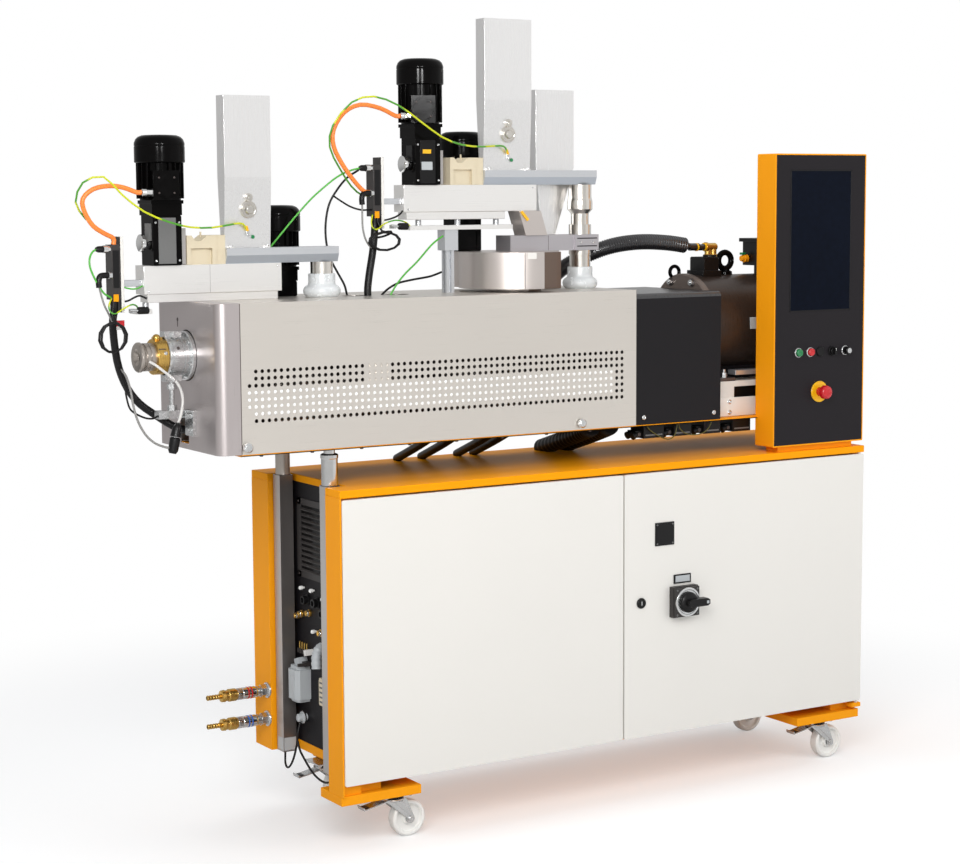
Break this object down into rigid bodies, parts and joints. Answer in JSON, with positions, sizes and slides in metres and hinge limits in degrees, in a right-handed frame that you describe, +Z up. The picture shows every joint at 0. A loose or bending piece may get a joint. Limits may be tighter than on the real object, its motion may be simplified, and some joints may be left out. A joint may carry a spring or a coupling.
{
  "type": "plastic extruder",
  "caption": "Laboratory twin-screw plastic extruder on a wheeled cabinet: guarded barrel with a die, geared drive, control panel and hopper feeders.",
  "frame": {"origin": "on the floor under the middle of the machine's box, cables left out", "axes": "+X along the machine from the die to the motor, +Y from the operator's side to the back, +Z up"},
  "size_m": [2.3884, 0.5794, 2.195],
  "materials": {
    "orange_paint": "satin",
    "white_paint": "satin",
    "black_paint": "gloss",
    "black_sheet": "matt",
    "charcoal_paint": "matt",
    "grey_casting": "satin",
    "stainless": "brushed",
    "dark_steel": "ground",
    "zinc_steel": "bright",
    "aluminium": "extruded",
    "brass": "turned",
    "screen_glass": "gloss",
    "nylon": "moulded",
    "beige_plastic": "moulded",
    "silicone": "translucent",
    "grey_plastic": "moulded",
    "black_plastic": "moulded",
    "green_plastic": "gloss",
    "red_plastic": "gloss",
    "yellow_plastic": "gloss",
    "orange_cable": "smooth",
    "earth_cable": "striped",
    "black_cable": "ribbed"
  },
  "bodies": {
    "machine": {"caster_beams": "orange_paint", "cabinet_floor": "orange_paint", "cabinet_ends": "orange_paint", "fixed_panels": "white_paint", "cabinet_top": "orange_paint", "connector_panel": "black_sheet", "recess_connectors": "grey_plastic", "caster_plates": "zinc_steel", "support_columns": "zinc_steel", "base_plate": "orange_paint", "base_connectors": "black_plastic", "cover_front": "stainless", "cover_shell": "stainless", "cover_end_cap": "stainless", "steel_fittings": "zinc_steel", "barrel": "dark_steel", "gear_cover": "black_sheet", "main_motor": "black_paint", "motor_base": "grey_casting", "die_clamp": "zinc_steel", "die_band": "brass", "die_nose": "dark_steel", "panel_housing": "orange_paint", "panel_face": "charcoal_paint", "panel_screen": "screen_glass", "button_bezels": "zinc_steel", "estop_plate": "yellow_plastic", "feeder_hoppers": "stainless", "feeder_motors": "black_paint", "feeder_housings": "stainless", "feeder_beams": "aluminium", "clamp_blocks": "beige_plastic", "down_pipes": "stainless", "bellows": "silicone", "side_feeder": "stainless", "controllers": "grey_plastic", "brass_fittings": "brass", "motor_cable_a": "orange_cable", "motor_cable_b": "orange_cable", "earth_wire_a": "earth_cable", "earth_wire_b": "earth_cable", "loom_a": "black_cable", "loom_b": "black_cable", "motor_conduit": "black_cable"},
    "door": {"service_door": "white_paint", "door_fittings": "black_plastic"},
    "main_switch": {"switch_handle": "black_plastic"},
    "start_button": {"start_button": "green_plastic"},
    "stop_button": {"stop_button": "red_plastic"},
    "selector": {"selector": "black_plastic"},
    "speed_knob": {"speed_knob": "black_plastic"},
    "estop": {"estop_head": "red_plastic"},
    "swivel_fl": {"caster_fork_fl": "zinc_steel"},
    "wheel_fl": {"caster_wheel_fl": "nylon"},
    "swivel_fr": {"caster_fork_fr": "zinc_steel"},
    "wheel_fr": {"caster_wheel_fr": "nylon"},
    "swivel_bl": {"caster_fork_bl": "zinc_steel"},
    "wheel_bl": {"caster_wheel_bl": "nylon"},
    "swivel_br": {"caster_fork_br": "zinc_steel"},
    "wheel_br": {"caster_wheel_br": "nylon"}
  },
  "joints": [
    {"name": "door_hinge", "type": "hinge", "parent": "machine", "child": "door", "pos_m": [1.133, -0.2203, 0.56], "axis": [0, 0, 1], "range_deg": [0, 110]},
    {"name": "main_switch_turn", "type": "hinge", "parent": "door", "child": "main_switch", "pos_m": [0.463, -0.2753, 0.56], "axis": [0, -1, 0], "range_deg": [0, 90]},
    {"name": "start_press", "type": "slide", "parent": "machine", "child": "start_button", "axis": [0, 1, 0], "range_m": [0, 0.004], "stiffness_N_per_m": 800},
    {"name": "stop_press", "type": "slide", "parent": "machine", "child": "stop_button", "axis": [0, 1, 0], "range_m": [0, 0.004], "stiffness_N_per_m": 800},
    {"name": "selector_turn", "type": "hinge", "parent": "machine", "child": "selector", "pos_m": [1.012, -0.2403, 1.25], "axis": [0, -1, 0], "range_deg": [-45, 45]},
    {"name": "speed_turn", "type": "hinge", "parent": "machine", "child": "speed_knob", "pos_m": [1.062, -0.2403, 1.25], "axis": [0, -1, 0], "range_deg": [-270, 0]},
    {"name": "estop_press", "type": "slide", "parent": "machine", "child": "estop", "axis": [0, 1, 0], "range_m": [0, 0.006]},
    {"name": "swivel_turn_fl", "type": "hinge", "parent": "machine", "child": "swivel_fl", "pos_m": [-0.45, -0.1603, 0.112], "axis": [0, 0, 1], "continuous": true},
    {"name": "wheel_turn_fl", "type": "hinge", "parent": "swivel_fl", "child": "wheel_fl", "pos_m": [-0.407, -0.1603, 0.05], "axis": [0, 1, 0], "continuous": true},
    {"name": "swivel_turn_fr", "type": "hinge", "parent": "machine", "child": "swivel_fr", "pos_m": [1.025, -0.1603, 0.112], "axis": [0, 0, 1], "continuous": true},
    {"name": "wheel_turn_fr", "type": "hinge", "parent": "swivel_fr", "child": "wheel_fr", "pos_m": [1.068, -0.1603, 0.05], "axis": [0, 1, 0], "continuous": true},
    {"name": "swivel_turn_bl", "type": "hinge", "parent": "machine", "child": "swivel_bl", "pos_m": [-0.45, 0.2197, 0.112], "axis": [0, 0, 1], "continuous": true},
    {"name": "wheel_turn_bl", "type": "hinge", "parent": "swivel_bl", "child": "wheel_bl", "pos_m": [-0.407, 0.2197, 0.05], "axis": [0, 1, 0], "continuous": true},
    {"name": "swivel_turn_br", "type": "hinge", "parent": "machine", "child": "swivel_br", "pos_m": [1.025, 0.2197, 0.112], "axis": [0, 0, 1], "continuous": true},
    {"name": "wheel_turn_br", "type": "hinge", "parent": "swivel_br", "child": "wheel_br", "pos_m": [1.068, 0.2197, 0.05], "axis": [0, 1, 0], "continuous": true}
  ]
}
